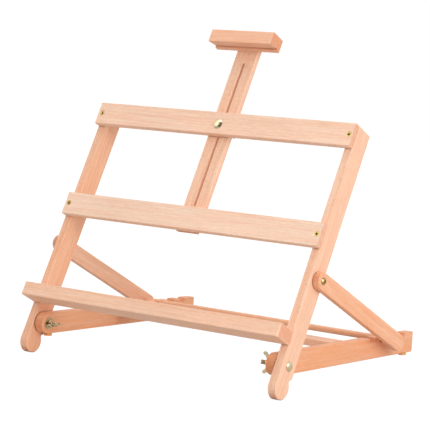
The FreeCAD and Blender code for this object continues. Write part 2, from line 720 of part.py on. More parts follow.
def build_pieces():
    """Every node as (object, group, placement inside the group)."""
    here = FreeCAD.Placement()
    inward = {side: FreeCAD.Vector(-side, 0, 0) for side in (LEFT, RIGHT)}
    outward = {side: FreeCAD.Vector(side, 0, 0) for side in (LEFT, RIGHT)}
    forward = FreeCAD.Vector(0, -1, 0)
    nut_face = f"({BASE_IN} - face_play - washer_thick - face_play)"
    nut_back = f"({MAST_REAR} - face_play - washer_thick - face_play)"
    pivot_length = f"frame_width / 2 - {nut_face} + nut_height + bolt_stub"
    clamp_length = f"{FRONT} + rail_thick - {nut_back} + nut_height + bolt_stub"
    arm_screw_length = "face_play + arm_thick + arm_gap + arm_screw_bite"

    pivot_bolt = domed_bolt("pivot_bolt", "pivot_bore", "pivot_head", "pivot_dome", pivot_length)
    arm_screw = domed_bolt(
        "arm_screw", "arm_screw_bore", "arm_screw_head", "arm_screw_dome", arm_screw_length
    )
    rail_screw = sunk_screw("rail_screw", "rail_screw_length")
    mast_bolt = domed_bolt("mast_bolt", "clamp_bore", "clamp_head", "clamp_dome", clamp_length)
    pivot_washer = washer("pivot_washer", "pivot_bore")
    mast_washer = washer("mast_washer", "clamp_bore")
    sides = (LEFT, RIGHT)
    rail_front = f"-({FRONT} + rail_thick)"
    gap_mid = f"({BASE_OUT} + (base_gap - washer_thick) / 2)"
    washer_seat = f"-{MAST_REAR} + mast_play"

    pieces = [(base_rail(side), "base", here) for side in sides]
    pieces.append((base_cross_rail(), "base", here))
    pieces.append((rubber_feet(), "base", here))
    pieces.append((spots_of("pivot_washers", [
        (pivot_washer, facing(outward[side], (on_side(side, gap_mid), "0", "0"))) for side in sides
    ]), "base", here))

    pieces += [(upright(side), "frame", here) for side in sides]
    pieces.append((top_rail(), "frame", here))
    pieces.append((front_rail("middle_rail", "middle_rail_low", MIDDLE_RAIL_MID), "frame", here))
    pieces.append((canvas_ledge(), "frame", here))
    pieces.append((spots_of("rail_screws", [
        (rail_screw, facing(forward, (on_side(side, UPRIGHT_MID), rail_front, height)))
        for side in sides for height in (TOP_RAIL_MID, MIDDLE_RAIL_MID)
    ]), "frame", here))
    clamp_bolts = [
        (pivot_bolt, facing(outward[side], (on_side(side, "(frame_width / 2)"), "0", "0")))
        for side in sides
    ]
    clamp_bolts.append((mast_bolt, facing(forward, ("-mast_shift", rail_front, CLAMP_UP))))
    pieces.append((spots_of("clamp_bolts", clamp_bolts), "frame", here))
    nut_washers = [
        (pivot_washer, facing(inward[side], (on_side(side, f"({BASE_IN} - face_play)"), "0", "0")))
        for side in sides
    ]
    nut_washers.append((mast_washer, facing(-forward, ("-mast_shift", washer_seat, CLAMP_UP))))
    pieces.append((spots_of("nut_washers", nut_washers), "frame", here))
    pieces.append((spots_of("arm_pivot_screws", [
        (arm_screw, facing(outward[side], (on_side(side, f"({ARM_OUT} + face_play)"), "0", "arm_height")))
        for side in sides
    ]), "frame", here))

    pieces += [(prop_arm(side), "prop", here) for side in sides]
    pieces.append((prop_dowel(), "prop", here))

    pieces.append((mast(), "frame", here))
    pieces.append((canvas_holder(), "frame", here))

    for side in sides:
        nut = wing_nut(f"base_wing_nut_{HAND[side]}", "pivot_bore")
        seat = facing(inward[side], (on_side(side, nut_face), "0", "0"), NUT_SPIN[side])
        pieces.append((nut, "base", seat))
    mast_nut = wing_nut("mast_wing_nut", "clamp_bore")
    nut_seat = f"{washer_seat} + washer_thick + face_play"
    mast_seat = facing(-forward, ("-mast_shift", nut_seat, CLAMP_UP), MAST_NUT_SPIN)
    pieces.append((mast_nut, "frame", mast_seat))
    return pieces


def main():
    os.makedirs("parts", exist_ok=True)
    pieces = build_pieces()
    places = group_places()
    for piece, group, inside in pieces:
        piece.Placement = places[group].multiply(inside)
    doc.recompute()

    # The origin is the middle of the footprint, on the table.
    whole = FreeCAD.BoundBox()
    for piece, _, _ in pieces:
        whole.add(piece.Shape.optimalBoundingBox(True, False))
    shift = FreeCAD.Vector(-whole.Center.x, -whole.Center.y, -whole.ZMin)
    for piece, _, _ in pieces:
        piece.Placement = FreeCAD.Placement(shift, FreeCAD.Rotation()).multiply(piece.Placement)
    doc.recompute()

    for item in doc.Objects:
        if "Invalid" in item.State or "Error" in item.State:
            raise RuntimeError(f"{item.Name} is in state {item.State}")
    for piece, _, _ in pieces:
        if piece.Shape.isNull() or not piece.Shape.isValid():
            raise RuntimeError(f"{piece.Label} has no sound shape")
    for piece, _, _ in pieces:
        piece.Shape.exportStep(f"parts/{piece.Label}.step")
        box = piece.Shape.BoundBox
        extents = f"{box.XLength:7.1f} {box.YLength:7.1f} {box.ZLength:7.1f}"
        print(f"{piece.Label:22s} {len(piece.Shape.Solids)} solid(s) {extents}")
    print("turns about X: base %.3f frame %.3f prop %.3f" % rest_angles())
    print("pivot of the frame at", shift, "pivot of the arms at", places["prop"].Base + shift)
    print("overall", whole.XLength, whole.YLength, whole.ZLength)


main()
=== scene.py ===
"""Finish and studio for a folding table-top easel of beech.

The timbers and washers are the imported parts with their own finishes. The screws, bolts, wing nuts and
rubber feet are modelled here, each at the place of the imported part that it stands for.
Lengths are in metres. +Z is up, +X is to the painter's right, and the canvas side faces -Y.
"""

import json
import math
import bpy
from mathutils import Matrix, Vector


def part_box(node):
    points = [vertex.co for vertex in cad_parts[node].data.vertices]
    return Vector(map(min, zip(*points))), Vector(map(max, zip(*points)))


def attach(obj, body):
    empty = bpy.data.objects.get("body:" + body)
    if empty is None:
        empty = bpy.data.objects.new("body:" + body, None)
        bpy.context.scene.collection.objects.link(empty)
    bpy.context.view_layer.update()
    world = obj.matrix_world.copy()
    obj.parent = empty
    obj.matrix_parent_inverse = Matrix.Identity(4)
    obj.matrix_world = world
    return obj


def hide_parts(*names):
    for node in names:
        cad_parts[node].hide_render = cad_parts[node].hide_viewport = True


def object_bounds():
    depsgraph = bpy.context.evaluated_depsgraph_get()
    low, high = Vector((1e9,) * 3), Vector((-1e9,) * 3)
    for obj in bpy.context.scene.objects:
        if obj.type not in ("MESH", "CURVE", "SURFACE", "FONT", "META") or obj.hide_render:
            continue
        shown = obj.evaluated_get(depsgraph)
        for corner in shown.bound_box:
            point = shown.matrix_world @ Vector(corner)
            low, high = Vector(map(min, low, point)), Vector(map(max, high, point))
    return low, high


bl_info = {
    "name": "Table-top easel finish",
    "version": (1, 0, 0),
    "blender": (4, 5, 0),
    "location": "3D View > Sidebar > Easel",
    "description": "Beech, brass and rubber finishes, turned fasteners and a pale studio for a folding easel",
    "category": "Object",
}

import bmesh
import bpy
from bpy.props import FloatProperty, FloatVectorProperty, IntProperty, PointerProperty
from bpy.types import Operator, Panel, PropertyGroup
from mathutils import Matrix, Quaternion, Vector

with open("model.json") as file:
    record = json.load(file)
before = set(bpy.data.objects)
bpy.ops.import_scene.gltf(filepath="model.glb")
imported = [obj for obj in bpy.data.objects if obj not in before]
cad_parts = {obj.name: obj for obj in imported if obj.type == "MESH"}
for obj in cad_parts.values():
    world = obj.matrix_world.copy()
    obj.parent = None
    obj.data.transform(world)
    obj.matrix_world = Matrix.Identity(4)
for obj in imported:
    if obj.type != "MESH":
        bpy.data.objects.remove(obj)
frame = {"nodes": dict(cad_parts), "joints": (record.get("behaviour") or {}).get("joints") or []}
CAD_BOX = [list(corner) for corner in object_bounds()]
MM = 0.001
WHITE = (1, 1, 1, 1)
# Corners this near to each other lie on the same ring or plane.
SAME = 0.01 * MM
# Fasteners farther than this from the middle face out to their own side.
MIDDLE_ZONE = 60 * MM
# Above this height over the pivot a timber's rear face is flat.
HEEL = 60 * MM
# Faces that meet at less than this angle are shaded as one.
SHARP = math.radians(32)


def mm(*sides):
    """Millimetres as a tuple in metres."""
    return tuple(side * MM for side in sides)


# ---------------------------------------- directions read from the frame


def joint(name):
    """The record's joint of that name."""
    return next(j for j in frame["joints"] if j["name"] == name)


def middle(node):
    """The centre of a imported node's box."""
    low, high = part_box(node)
    return (low + high) / 2


SIDEWAYS = Vector((1, 0, 0))
UP_THE_FRAME = Vector(joint("mast_slide")["axis"]).normalized()
OUT_OF_CANVAS = UP_THE_FRAME.cross(SIDEWAYS).normalized() * -1
FRAME_PIVOT = Vector(joint("frame_tilt")["pos_m"])
ALONG_THE_ARMS = (middle("prop_dowel") - Vector(joint("prop_swing")["pos_m"])).normalized()


def islands(node):
    """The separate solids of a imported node, left before right, each a list of its corners."""
    made = bmesh.new()
    made.from_mesh(frame["nodes"][node].data)
    bmesh.ops.remove_doubles(made, verts=made.verts, dist=SAME)
    made.verts.index_update()
    left = set(made.verts)
    solids = []
    while left:
        reached, edge = set(), {left.pop()}
        while edge:
            reached |= edge
            edge = {link.other_vert(vert) for vert in edge for link in vert.link_edges} - reached
        left -= reached
        solids.append([vert.co.copy() for vert in sorted(reached, key=lambda vert: vert.index)])
    made.free()
    return sorted(solids, key=lambda corners: (corners[0].x > 0, corners[0].z, corners[0].y))


def run_of(solids):
    """The direction from the frontmost to the rearmost of some solids."""
    middles = sorted((sum(corners, Vector()) / len(corners) for corners in solids), key=lambda spot: spot.y)
    half = len(middles) // 2
    return (sum(middles[half:], Vector()) - sum(middles[:half], Vector())).normalized()


ALONG_BASE = run_of(islands("rubber_feet"))
OUT_OF_BASE = ALONG_BASE.cross(SIDEWAYS)


def linked(name, data):
    """A new object in the scene."""
    made = bpy.data.objects.new(name, data)
    bpy.context.scene.collection.objects.link(made)
    return made


# ---------------------------------------- settings


def hue(code):
    """The linear colour of a six-digit hexadecimal display colour."""
    channels = [int(code[place : place + 2], 16) / 255 for place in (0, 2, 4)]
    return tuple(c / 12.92 if c <= 0.04045 else ((c + 0.055) / 1.055) ** 2.4 for c in channels)


def colour_setting(name, description, code):
    """A colour; its default is a display colour."""
    return FloatVectorProperty(
        name=name, description=description, subtype="COLOR", default=hue(code), min=0, max=1
    )


def amount_setting(name, description, default, least=0.0, **more):
    """A number, plain unless more says otherwise."""
    return FloatProperty(name=name, description=description, default=default, min=least, **more)


def length_setting(name, description, default, least=0.0):
    """A length; its default and the least it may be are in millimetres."""
    return amount_setting(name, description, default * MM, least * MM, subtype="DISTANCE")


def share_setting(name, description, default, least=0.0, most=1.0):
    """A share of 1."""
    return amount_setting(name, description, default, least, max=most, subtype="FACTOR")


def angle_setting(name, description, default):
    """An angle; its default is in degrees."""
    return amount_setting(name, description, math.radians(default), -math.tau, subtype="ANGLE")


class BeechSettings(PropertyGroup):
    """Colours and figure of the steamed beech, and the painted shade in its corners."""

    pale: colour_setting("Pale wood", "Early wood", "FDDCC4")
    warm: colour_setting("Warm wood", "Streaks of heart wood", "F1A87A")
    late: colour_setting("Late wood", "Lines of the year rings", "DD9C74")
    fleck: colour_setting("Ray flecks", "Short rays", "C08460")
    # Painted shade: this colour darkens wood in slots and against other wood, where shade falls.
    corner: colour_setting("Corners", "Wood in slots and against wood", "8A4420")
    ends: colour_setting("End grain", "Tints the ends of a board", "F0DCD2")
    streaks: share_setting("Streaks", "How far streaks go to either side of a board's tone", 0.22)
    late_share: share_setting("Late wood's share", "Strength of the year rings", 0.3)
    fleck_share: share_setting("Flecks' share", "Strength of the ray flecks", 0.22)
    corner_shade_share: share_setting("Corners' share", "Strength of the shade in corners", 0.95)
    corner_shade_reach: length_setting("Corner reach", "How far the shade in corners reaches", 5, 0.5)
    ring: length_setting("Ring spacing", "Width of a year ring", 3.2, 0.5)
    ray_length: length_setting("Ray length", "Length of a ray fleck", 2.6, 0.5)
    ray_width: length_setting("Ray width", "Width of a ray fleck", 0.3, 0.05)
    ray_depth: length_setting("Ray depth", "How far a ray goes into the wood", 5, 0.5)
    sheen: share_setting("Roughness", "Roughness of the sanded face", 0.5)
    shine: share_setting("Shine", "Specular level of the sanded face", 0.35)
    relief: share_setting("Relief", "Strength of the grain's relief", 0.35)
    relief_height: length_setting("Relief height", "Height of the grain's relief", 0.12)


class MetalSettings(PropertyGroup):
    """Colours of the fittings."""

    brass: colour_setting("Brass", "Countersunk and domed screws", "BCA269")
    plate: colour_setting("Yellow plate", "Bolts, nuts and washers", "E6D6AE")
    # This colour serves both the tarnish patches and the painted shade in recesses and round sunk heads.
    tarnish_and_shade: colour_setting("Recess", "Shade in the recesses", "3A2C18")
    tarnish: share_setting("Tarnish", "Strength of the dull patches", 0.3)
    recess_shade_share: share_setting("Recess share", "Strength of the shade in the recesses", 0.97)
    recess_shade_reach: length_setting("Recess reach", "How far the shade in the recesses reaches", 2.2, 0.2)
    polish: share_setting("Roughness", "Roughness of the metal", 0.17)


class FastenerSettings(PropertyGroup):
    """Sizes of what the screws, bolts and nuts carry."""

    steps: IntProperty(name="Steps", description="Facets round a turned part", default=48, min=12)
    recess: share_setting("Cross", "Across the driver's cross, for a head's width of 1", 0.5, 0.1, 0.9)
    recess_arm: share_setting("Cross arm", "Width of the cross's arms, for its span of 1", 0.42, 0.1, 0.9)
    recess_depth: length_setting("Cross depth", "Depth of the cross", 2, 0.3)
    sunk: length_setting("Sunk", "Screw heads below the wood", 0.5)
    pitch: share_setting("Thread pitch", "Rise of one turn, for a shank's width of 1", 0.17, 0.05)
    threaded: length_setting("Threaded", "Length of a bolt's thread", 18, 1)
    rim: length_setting("Rim", "Rounding of a rim", 0.45, 0.05)
    ear: length_setting("Ear", "Radius of a wing nut's ear", 2.7, 1)
    rear_head: length_setting("Rear screw", "Radius of a rear screw's head", 3.8, 1)
    rear_dome: length_setting("Rear dome", "Height of a rear screw's head", 2.1, 1)
    rear_space: length_setting("Rear pair", "Between the holder's screws", 18, 1)
    seed: IntProperty(name="Seed", description="Which way each driver's cross was left", default=7)


class RubberSettings(PropertyGroup):
    """Colour of the feet."""

    amber: colour_setting("Amber", "Soft rubber", "F0A048")
    bloom: colour_setting("Bloom", "Dusty patches", "F7CF9A")
    bloom_share: share_setting("Bloom's share", "Strength of the dusty patches", 0.4)
    matt: share_setting("Roughness", "Roughness of the rubber", 0.42)
    clear: share_setting("Clearness", "How much light goes into the rubber", 0.35)


class StudioSettings(PropertyGroup):
    """Camera and lights."""

    azimuth: angle_setting("Azimuth", "Camera's turn to the right", 35.65)
    elevation: angle_setting("Elevation", "Camera's height", 7.9)
    roll: angle_setting("Roll", "Camera's tilt", 1.42)
    distance: length_setting("Distance", "Camera to aim point", 2457, 500)
    lens: amount_setting("Lens", "Focal length in millimetres", 146.84, 10)
    aim: FloatVectorProperty(
        name="Aim",
        description="Aim point from the middle of the easel",
        subtype="TRANSLATION",
        default=mm(17.3, -50.1, -22.8),
    )
    key: amount_setting("Key light", "Power in watts", 8)
    fill: amount_setting("Fill light", "Power in watts", 42)
    top: amount_setting("Top light", "Power in watts", 20)
    sky: amount_setting("Surroundings", "Strength of the white room", 0.56)
    floor: colour_setting("Floor", "Table top", "D8D5D2")
    floor_glow: amount_setting("Floor's glow", "How bright the camera sees the floor", 1.2)
    floor_shadow: share_setting("Floor's shadow", "How much of the shadow the camera sees", 0.22)


# ---------------------------------------- shader helpers


def emptied(owner):
    """The node tree of a material or world, without its nodes."""
    owner.use_nodes = True
    owner.node_tree.nodes.clear()
    return owner.node_tree


def new_tree(name):
    """A material of that name, its node tree and what its surface shader takes."""
    material = bpy.data.materials.new(name)
    tree = emptied(material)
    shader = tree.nodes.new("ShaderNodeBsdfPrincipled")
    add(tree, "ShaderNodeOutputMaterial", {"Surface": shader.outputs["BSDF"]})
    return material, tree, shader.inputs


def new_group(name, kind, inlets, outlets):
    """A node group with sockets of those names and types, what its inlet gives and its outlet takes."""
    tree = bpy.data.node_groups.new(name, kind)
    for way, sockets in (("INPUT", inlets), ("OUTPUT", outlets)):
        for label, sort in sockets.items():
            tree.interface.new_socket(label, in_out=way, socket_type=f"NodeSocket{sort}")
    return tree, tree.nodes.new("NodeGroupInput").outputs, tree.nodes.new("NodeGroupOutput").inputs


def plug(tree, inputs, sockets):
    """Gives a node's inputs their values or links."""
    for name, value in sockets.items():
        if isinstance(value, bpy.types.NodeSocket):
            tree.links.new(value, inputs[name])
        else:
            inputs[name].default_value = value


def add(tree, kind, sockets=None, **settings):
    """A node of that kind, with its settings and the values or links of its sockets."""
    made = tree.nodes.new(kind)
    for name, value in settings.items():
        setattr(made, name, value)
    plug(tree, made.inputs, sockets or {})
    return made


def maths(tree, operation, first, second=0.0, third=0.0, clamp=False):
    """The output of a Math node."""
    sockets = {0: first, 1: second, 2: third}
    return add(tree, "ShaderNodeMath", sockets, operation=operation, use_clamp=clamp).outputs[0]


def stretched(tree, vector, cell):
    """The vector in units of a cell of that size, so that a pattern takes the cell's shape."""
    scale = tuple(1 / side for side in cell)
    return add(tree, "ShaderNodeVectorMath", {0: vector, 1: scale}, operation="MULTIPLY").outputs[0]


def along(tree, vector, direction):
    """How far a vector goes along a direction."""
    sockets = {0: vector, 1: tuple(direction)}
    return add(tree, "ShaderNodeVectorMath", sockets, operation="DOT_PRODUCT").outputs["Value"]


def noise(tree, vector, detail=2.0, roughness=0.5):
    """The value of a noise with unit cells."""
    sockets = {"Vector": vector, "Scale": 1.0, "Detail": detail, "Roughness": roughness}
    return add(tree, "ShaderNodeTexNoise", sockets).outputs["Fac"]


def remap(tree, value, low, high, start=0.0, end=1.0):
    """The value taken from one range to another, held at its ends."""
    sockets = {"Value": value, "From Min": low, "From Max": high, "To Min": start, "To Max": end}
    return add(tree, "ShaderNodeMapRange", sockets).outputs["Result"]


def mixed(tree, factor, first, second, blend="MIX"):
    """Two colours mixed."""
    colours = (c if isinstance(c, bpy.types.NodeSocket) else (*c, 1) for c in (first, second))
    sockets = dict(zip((0, 6, 7), (factor, *colours)))
    return add(tree, "ShaderNodeMix", sockets, data_type="RGBA", blend_type=blend).outputs[2]


def bumps(tree, height, strength, distance):
    """A normal that follows a height."""
    sockets = {"Height": height, "Strength": strength, "Distance": distance}
    return add(tree, "ShaderNodeBump", sockets).outputs[0]


def either(tree, factor, first, second):
    """The first shader where the factor is 0, the second where it is 1."""
    return add(tree, "ShaderNodeMixShader", {0: factor, 1: first, 2: second}).outputs[0]


def shade_in_hollows(tree, reach, openness, strength):
    """The strength where a face is hemmed in by others within reach, down to 0 where it is open."""
    hemmed = add(tree, "ShaderNodeAmbientOcclusion", {"Distance": reach}, samples=8).outputs["AO"]
    return remap(tree, hemmed, *openness, strength, 0.0)


# ---------------------------------------- beech

# Cells of the patterns, their third side along the grain.
DRIFT_CELL, YEAR_CELL, STREAK_CELL = mm(35, 35, 300), mm(9, 9, 250), mm(6, 4, 110)
FIBRE_CELL, BLOTCH_CELL = mm(0.9, 0.9, 14), mm(50, 50, 120)
# Most values of a noise lie between these.
NOISE_RANGE = (0.3, 0.7)
# Where late wood lies in a year ring, and the values of the ray noise at which a ray shows.
LATE_WOOD = (0.35, 1.0)
RAY_SHOWS = (0.58, 0.70)
# How much darker or brighter fibres and blotches make the wood.
FIBRE_RANGE, FIBRE_SHADE = (0.25, 0.75), (0.90, 1.07)
BLOTCH_SHADE = (0.97, 1.02)
# What fibres and end grain add to the roughness.
FIBRE_ROUGHNESS, END_ROUGHNESS = (-0.05, 0.07), 0.2
# Heights of late wood and rays in the relief, for fibres of 1.
LATE_HEIGHT, RAY_HEIGHT = 0.5, -0.4
# Cosines to the grain between which a face turns into end grain.
END_GRAIN = (0.72, 0.96)
# Openness between which the painted shade in a corner goes from dark to clear.
CORNER_SHADE_OPEN = (0.12, 0.65)
# How far the log's centre wanders, and the wave texture's scale for rings one unit wide.
WANDER = mm(12, 12, 0)
RING_SCALE = math.tau / 20


def beech_figure():
    """The node group that turns a place in a board, grain along Z, into colour, roughness and relief."""
    name = "Beech figure"
    if name in bpy.data.node_groups:
        return bpy.data.node_groups[name]
    wood = bpy.context.scene.easel_beech
    inlets = {"Place": "Vector", "End grain": "Float", "Tone": "Float"}
    outlets = {"Colour": "Color", "Roughness": "Float", "Relief": "Float"}
    tree, inlet, outlet = new_group(name, "ShaderNodeTree", inlets, outlets)
    place = inlet["Place"]

    drift = add(tree, "ShaderNodeTexNoise", {"Vector": stretched(tree, place, DRIFT_CELL), "Scale": 1.0})
    sockets = {0: drift.outputs["Color"], 1: WANDER, 2: place}
    bend = add(tree, "ShaderNodeVectorMath", sockets, operation="MULTIPLY_ADD").outputs[0]
    sockets = {"Vector": bend, "Scale": RING_SCALE / wood.ring, "Distortion": 0.0}
    look = {"wave_type": "RINGS", "rings_direction": "Z", "wave_profile": "SAW"}
    rings = add(tree, "ShaderNodeTexWave", sockets, **look).outputs["Fac"]
    year = noise(tree, stretched(tree, bend, YEAR_CELL))
    late = maths(tree, "MULTIPLY", remap(tree, rings, *LATE_WOOD), remap(tree, year, *NOISE_RANGE))

    streak = noise(tree, stretched(tree, bend, STREAK_CELL), detail=4.0, roughness=0.65)
    fibre = noise(tree, stretched(tree, place, FIBRE_CELL), roughness=0.6)
    ray_cell = (wood.ray_depth, wood.ray_width, wood.ray_length)
    rays = noise(tree, stretched(tree, place, ray_cell), detail=1.0, roughness=0.4)
    ray_mask = remap(tree, rays, *RAY_SHOWS)
    blotch = noise(tree, stretched(tree, place, BLOTCH_CELL))

    spread = remap(tree, streak, *NOISE_RANGE, -wood.streaks, wood.streaks)
    tone = maths(tree, "ADD", spread, inlet["Tone"], clamp=True)
    colour = mixed(tree, tone, wood.pale, wood.warm)
    colour = mixed(tree, maths(tree, "MULTIPLY", late, wood.late_share), colour, wood.late)
    colour = mixed(tree, maths(tree, "MULTIPLY", ray_mask, wood.fleck_share), colour, wood.fleck)
    grey = remap(tree, fibre, *FIBRE_RANGE, *FIBRE_SHADE)
    shade = maths(tree, "MULTIPLY", grey, remap(tree, blotch, *NOISE_RANGE, *BLOTCH_SHADE))
    tint = add(tree, "ShaderNodeCombineColor", {0: shade, 1: shade, 2: shade}).outputs[0]
    colour = mixed(tree, 1.0, colour, tint, "MULTIPLY")
    ends = mixed(tree, 1.0, colour, wood.ends, "MULTIPLY")
    colour = mixed(tree, inlet["End grain"], colour, ends)

    gloss = maths(tree, "ADD", remap(tree, fibre, *NOISE_RANGE, *FIBRE_ROUGHNESS), wood.sheen)
    rougher = maths(tree, "MULTIPLY", inlet["End grain"], END_ROUGHNESS)
    gloss = maths(tree, "ADD", gloss, rougher, clamp=True)
    relief = maths(tree, "MULTIPLY_ADD", late, LATE_HEIGHT, fibre)
    relief = maths(tree, "MULTIPLY_ADD", ray_mask, RAY_HEIGHT, relief)
    plug(tree, outlet, {"Colour": colour, "Roughness": gloss, "Relief": relief})
    return tree


def beech(name, grain, pith, tone):
    """A beech board's finish: grain is its direction, and pith the offset of the log's centre from it."""
    wood = bpy.context.scene.easel_beech
    material, tree, shader = new_tree(name)
    turn = Vector(grain).rotation_difference(Vector((0, 0, 1))).to_euler()
    coordinates = tree.nodes.new("ShaderNodeTexCoord")
    sockets = {"Vector": coordinates.outputs["Object"], "Location": pith, "Rotation": turn}
    place = add(tree, "ShaderNodeMapping", sockets).outputs[0]
    facing = along(tree, coordinates.outputs["Normal"], grain)
    ends = remap(tree, maths(tree, "ABSOLUTE", facing), *END_GRAIN)
    sockets = {"Place": place, "End grain": ends, "Tone": tone}
    figure = add(tree, "ShaderNodeGroup", sockets, node_tree=beech_figure()).outputs
    # Painted shade: corners, slots and faces near other wood are darkened toward the corners' colour.
    shade = shade_in_hollows(tree, wood.corner_shade_reach, CORNER_SHADE_OPEN, wood.corner_shade_share)
    sockets = {
        "Base Color": mixed(tree, shade, figure["Colour"], wood.corner),
        "Roughness": figure["Roughness"],
        "Normal": bumps(tree, figure["Relief"], wood.relief, wood.relief_height),
        "Specular IOR Level": wood.shine,
    }
    plug(tree, shader, sockets)
    return material


def dress(node, material):
    """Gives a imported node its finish."""
    slots = frame["nodes"][node].data.materials
    slots.clear()
    slots.append(material)


# ---------------------------------------- metal and rubber

# Cells of the tarnish, the turning marks and the bloom.
CLOUD_CELL, SCRATCH_CELL, BLOOM_CELL = mm(4, 4, 4), mm(0.25, 0.25, 3), mm(3, 3, 3)
# Values of the cloud noise between which metal and rubber turn dull.
TARNISH_RANGE, BLOOM_RANGE = (0.42, 0.75), (0.35, 0.8)
# Openness between which the painted shade in a recess goes from dark to clear.
RECESS_SHADE_OPEN = (0.45, 0.93)
# What clouds and scratches add to the roughness of metal.
CLOUD_ROUGHNESS = (-0.05, 0.1)
SCRATCH_RANGE, SCRATCH_ROUGHNESS = (0.45, 0.8), (0.0, 0.12)
# Strength and height of the relief of metal and of rubber.
SCRATCH_RELIEF, RUBBER_RELIEF = (0.2, 0.03 * MM), (0.3, 0.1 * MM)
# How far red, green and blue go into the rubber.
RUBBER_DEPTH = mm(4, 2, 0.8)


def metal(name, colour):
    """Plated or solid brass with fine turning marks, a little tarnish and painted shade in the hollows."""
    settings = bpy.context.scene.easel_metal
    material, tree, shader = new_tree(name)
    place = tree.nodes.new("ShaderNodeTexCoord").outputs["Object"]
    cloud = noise(tree, stretched(tree, place, CLOUD_CELL), detail=3.0)
    scratch = noise(tree, stretched(tree, place, SCRATCH_CELL))
    dull = remap(tree, cloud, *TARNISH_RANGE, 0.0, settings.tarnish)
    tarnish = mixed(tree, dull, colour, settings.tarnish_and_shade)
    # Painted shade: the hollows of a head, and its rim against the wood, darken toward the recess colour on
    # top of the tarnish.
    shade = shade_in_hollows(tree, settings.recess_shade_reach, RECESS_SHADE_OPEN, settings.recess_shade_share)
    tarnish = mixed(tree, shade, tarnish, settings.tarnish_and_shade)
    rough = maths(tree, "ADD", remap(tree, cloud, *NOISE_RANGE, *CLOUD_ROUGHNESS), settings.polish)
    scratched = remap(tree, scratch, *SCRATCH_RANGE, *SCRATCH_ROUGHNESS)
    rough = maths(tree, "ADD", rough, scratched, clamp=True)
    marks = bumps(tree, scratch, *SCRATCH_RELIEF)
    plug(tree, shader, {"Base Color": tarnish, "Roughness": rough, "Normal": marks, "Metallic": 1.0})
    return material


def rubber(name):
    """Soft amber rubber with a dusty bloom."""
    settings = bpy.context.scene.easel_rubber
    material, tree, shader = new_tree(name)
    place = tree.nodes.new("ShaderNodeTexCoord").outputs["Object"]
    cloud = noise(tree, stretched(tree, place, BLOOM_CELL), detail=3.0)
    dusty = remap(tree, cloud, *BLOOM_RANGE, 0.0, settings.bloom_share)
    bloom = mixed(tree, dusty, settings.amber, settings.bloom)
    sockets = {
        "Base Color": bloom,
        "Normal": bumps(tree, cloud, *RUBBER_RELIEF),
        "Roughness": settings.matt,
        "Subsurface Weight": settings.clear,
        "Subsurface Radius": RUBBER_DEPTH,
        "Subsurface Scale": 1.0,
    }
    plug(tree, shader, sockets)
    return material


# ---------------------------------------- turned pieces

# Points along a dome, and of a thread in one turn.
DOME_STEPS, THREAD_STEPS = 8, 6
# A driver's cross is this wide above its head and at its floor, for a cut of 1.
CROSS_MOUTH, CROSS_FLOOR = 1.15, 0.4
# Corners this near to the farthest one, for a reach of 1, belong to a wing's tip.
TIP = 0.97


def outward(corners):
    """The direction that a screw or bolt faces: out to its own side, or out of the canvas in the middle."""
    across = sum(corner.x for corner in corners) / len(corners)
    return SIDEWAYS * math.copysign(1, across) if abs(across) > MIDDLE_ZONE else OUT_OF_CANVAS


def span_along(corners, direction):
    """How far corners reach along a direction, as lowest and highest."""
    reach = [corner.dot(direction) for corner in corners]
    return min(reach), max(reach)


def measured(corners, axis):
    """What a turned solid measures: the middle of its far end along the axis, its head, shank and lengths."""
    side = axis.orthogonal().normalized()
    other = axis.cross(side)
    bottom, top = span_along(corners, axis)
    foot = sum((direction * sum(span_along(corners, direction)) / 2 for direction in (side, other)), Vector())
    radii = [((corner - foot - axis * corner.dot(axis)).length, corner.dot(axis)) for corner in corners]
    shank = max(radius for radius, level in radii if level < bottom + SAME)
    seat = max(level for radius, level in radii if abs(radius - shank) < SAME)
    return {
        "top": foot + axis * top,
        "axis": axis,
        "head": max(radius for radius, _ in radii),
        "shank": shank,
        "dome": top - seat,
        "length": seat - bottom,
    }


def spots_and_aims(solids, axis=None):
    """Where each fastener's far end is, and which way it faces."""
    found = [measured(corners, axis or outward(corners)) for corners in solids]
    return [(size["top"], size["axis"]) for size in found]


def arc(centre, radius, start, end, steps):
    """Points of an arc, as (radius, height) pairs; angles are degrees from the level."""
    angles = (math.radians(start + (end - start) * step / steps) for step in range(steps + 1))
    return [(centre[0] + radius * math.cos(angle), centre[1] + radius * math.sin(angle)) for angle in angles]


def turned(profile, ridge=None, ring=False):
    """A solid turned about Z from (radius, height) pairs given from its top to its bottom.

    ridge gives what a thread adds to the radius at an angle and height. A ring's profile runs all round.
    """
    steps = bpy.context.scene.easel_fasteners.steps
    made = bmesh.new()
    rings = []
    for radius, height in profile:
        spread = steps if radius > 0 else 1
        corners = []
        for step in range(spread):
            angle = math.tau * step / steps
            reach = radius + (ridge(angle, height) if ridge and radius else 0)
            corners.append(made.verts.new((reach * math.cos(angle), reach * math.sin(angle), height)))
        rings.append(corners)
    for upper, lower in zip(rings, rings[1:] + (rings[:1] if ring else [])):
        for step in range(steps):
            after = step + 1
            corners = (upper[step % len(upper)], lower[step % len(lower)])
            corners += (lower[after % len(lower)], upper[after % len(upper)])
            made.faces.new(list(dict.fromkeys(corners)))
    return made


def closed(made, near, far):
    """Faces over two like rings of corners, and a wall between them."""
    made.faces.new(near)
    made.faces.new(list(reversed(far)))
    for step in range(len(near)):
        after = (step + 1) % len(near)
        made.faces.new((near[after], near[step], far[step], far[after]))


def plate(outline, thick, rim):
    """A plate of that outline across X and up Z, centred on Y, its rims rounded."""
    made = bmesh.new()
    sides = (-thick / 2, thick / 2)
    closed(made, *([made.verts.new((across, side, up)) for across, up in outline] for side in sides))
    rims = [edge for edge in made.edges if edge.verts[0].co.y * edge.verts[1].co.y > 0]
    bmesh.ops.bevel(made, geom=rims, offset=rim, segments=3, profile=0.5, affect="EDGES")
    return made


